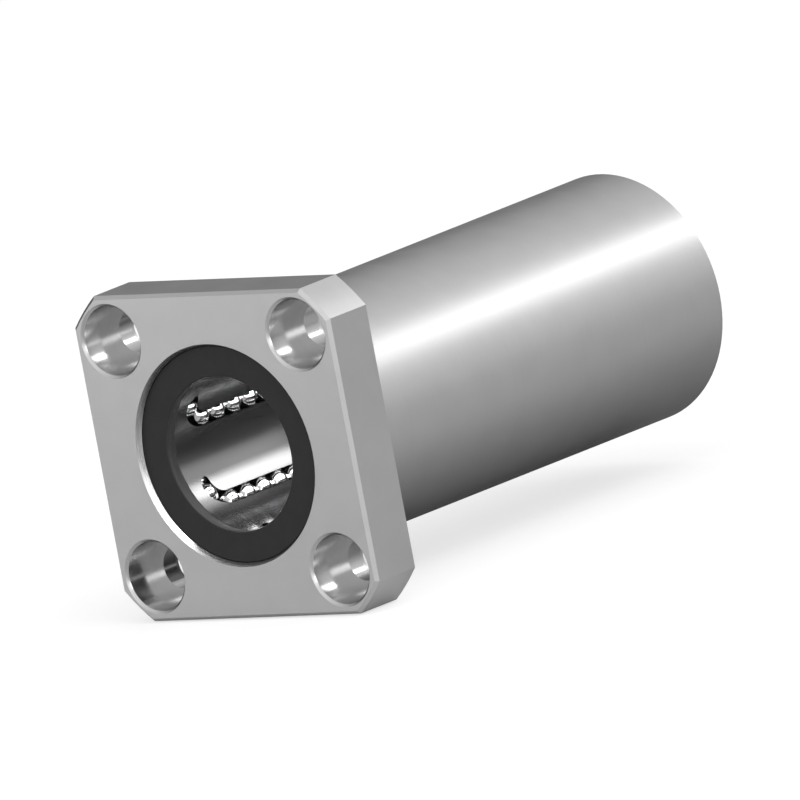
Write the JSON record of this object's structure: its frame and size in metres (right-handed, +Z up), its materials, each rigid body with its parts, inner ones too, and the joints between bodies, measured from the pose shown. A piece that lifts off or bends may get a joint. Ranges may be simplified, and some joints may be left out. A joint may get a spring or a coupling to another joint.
{
  "type": "flanged linear bearing",
  "caption": "Long linear ball bearing: a ground steel sleeve with a square flange at one end, counterbored screw holes, end seals and recirculating ball circuits.",
  "frame": {"origin": "on the bore's axis, in the plane of the flange's rear face, which seats on the housing", "axes": "+Y along the bore, from the flange towards the rear end of the sleeve; +Z up and +X to the right as seen from the flange's front"},
  "size_m": [0.042, 0.08, 0.042],
  "materials": {
    "bearing_steel": "hardened and finely ground bearing steel, satin, with bright edge breaks",
    "seal_rubber": "matt black nitrile rubber",
    "cage_resin": "smooth black moulded resin, semi-gloss",
    "spring_steel": "plain spring steel, stamped",
    "ball_steel": "polished bearing balls"
  },
  "bodies": {
    "flanged_housing": {"flanged_sleeve": "bearing_steel", "front_seal": "seal_rubber", "rear_seal": "seal_rubber", "front_retaining_ring": "spring_steel", "rear_retaining_ring": "spring_steel", "front_ball_cage": "cage_resin", "rear_ball_cage": "cage_resin", "front_returning_balls_1": "ball_steel", "front_returning_balls_2": "ball_steel", "front_returning_balls_3": "ball_steel", "front_returning_balls_4": "ball_steel", "front_returning_balls_5": "ball_steel", "front_returning_balls_6": "ball_steel", "rear_returning_balls_1": "ball_steel", "rear_returning_balls_2": "ball_steel", "rear_returning_balls_3": "ball_steel", "rear_returning_balls_4": "ball_steel", "rear_returning_balls_5": "ball_steel", "rear_returning_balls_6": "ball_steel"},
    "front_loaded_balls_1": {"front_loaded_balls_1": "ball_steel"},
    "front_loaded_balls_2": {"front_loaded_balls_2": "ball_steel"},
    "front_loaded_balls_3": {"front_loaded_balls_3": "ball_steel"},
    "front_loaded_balls_4": {"front_loaded_balls_4": "ball_steel"},
    "front_loaded_balls_5": {"front_loaded_balls_5": "ball_steel"},
    "front_loaded_balls_6": {"front_loaded_balls_6": "ball_steel"},
    "rear_loaded_balls_1": {"rear_loaded_balls_1": "ball_steel"},
    "rear_loaded_balls_2": {"rear_loaded_balls_2": "ball_steel"},
    "rear_loaded_balls_3": {"rear_loaded_balls_3": "ball_steel"},
    "rear_loaded_balls_4": {"rear_loaded_balls_4": "ball_steel"},
    "rear_loaded_balls_5": {"rear_loaded_balls_5": "ball_steel"},
    "rear_loaded_balls_6": {"rear_loaded_balls_6": "ball_steel"}
  },
  "joints": [
    {"name": "front_row_1_travel", "type": "slide", "parent": "flanged_housing", "child": "front_loaded_balls_1", "axis": [0, 1, 0], "range_m": [-0.00015, 0.0038]},
    {"name": "front_row_2_travel", "type": "slide", "parent": "flanged_housing", "child": "front_loaded_balls_2", "axis": [0, 1, 0], "range_m": [-0.00015, 0.0038]},
    {"name": "front_row_3_travel", "type": "slide", "parent": "flanged_housing", "child": "front_loaded_balls_3", "axis": [0, 1, 0], "range_m": [-0.00015, 0.0038]},
    {"name": "front_row_4_travel", "type": "slide", "parent": "flanged_housing", "child": "front_loaded_balls_4", "axis": [0, 1, 0], "range_m": [-0.00015, 0.0038]},
    {"name": "front_row_5_travel", "type": "slide", "parent": "flanged_housing", "child": "front_loaded_balls_5", "axis": [0, 1, 0], "range_m": [-0.00015, 0.0038]},
    {"name": "front_row_6_travel", "type": "slide", "parent": "flanged_housing", "child": "front_loaded_balls_6", "axis": [0, 1, 0], "range_m": [-0.00015, 0.0038]},
    {"name": "rear_row_1_travel", "type": "slide", "parent": "flanged_housing", "child": "rear_loaded_balls_1", "axis": [0, 1, 0], "range_m": [-0.00015, 0.0038]},
    {"name": "rear_row_2_travel", "type": "slide", "parent": "flanged_housing", "child": "rear_loaded_balls_2", "axis": [0, 1, 0], "range_m": [-0.00015, 0.0038]},
    {"name": "rear_row_3_travel", "type": "slide", "parent": "flanged_housing", "child": "rear_loaded_balls_3", "axis": [0, 1, 0], "range_m": [-0.00015, 0.0038]},
    {"name": "rear_row_4_travel", "type": "slide", "parent": "flanged_housing", "child": "rear_loaded_balls_4", "axis": [0, 1, 0], "range_m": [-0.00015, 0.0038]},
    {"name": "rear_row_5_travel", "type": "slide", "parent": "flanged_housing", "child": "rear_loaded_balls_5", "axis": [0, 1, 0], "range_m": [-0.00015, 0.0038]},
    {"name": "rear_row_6_travel", "type": "slide", "parent": "flanged_housing", "child": "rear_loaded_balls_6", "axis": [0, 1, 0], "range_m": [-0.00015, 0.0038]}
  ],
  "couplings": [
    {"joint": "front_row_2_travel", "follows": "front_row_1_travel", "ratio": 1},
    {"joint": "front_row_3_travel", "follows": "front_row_1_travel", "ratio": 1},
    {"joint": "front_row_4_travel", "follows": "front_row_1_travel", "ratio": 1},
    {"joint": "front_row_5_travel", "follows": "front_row_1_travel", "ratio": 1},
    {"joint": "front_row_6_travel", "follows": "front_row_1_travel", "ratio": 1},
    {"joint": "rear_row_1_travel", "follows": "front_row_1_travel", "ratio": 1},
    {"joint": "rear_row_2_travel", "follows": "front_row_1_travel", "ratio": 1},
    {"joint": "rear_row_3_travel", "follows": "front_row_1_travel", "ratio": 1},
    {"joint": "rear_row_4_travel", "follows": "front_row_1_travel", "ratio": 1},
    {"joint": "rear_row_5_travel", "follows": "front_row_1_travel", "ratio": 1},
    {"joint": "rear_row_6_travel", "follows": "front_row_1_travel", "ratio": 1}
  ]
}
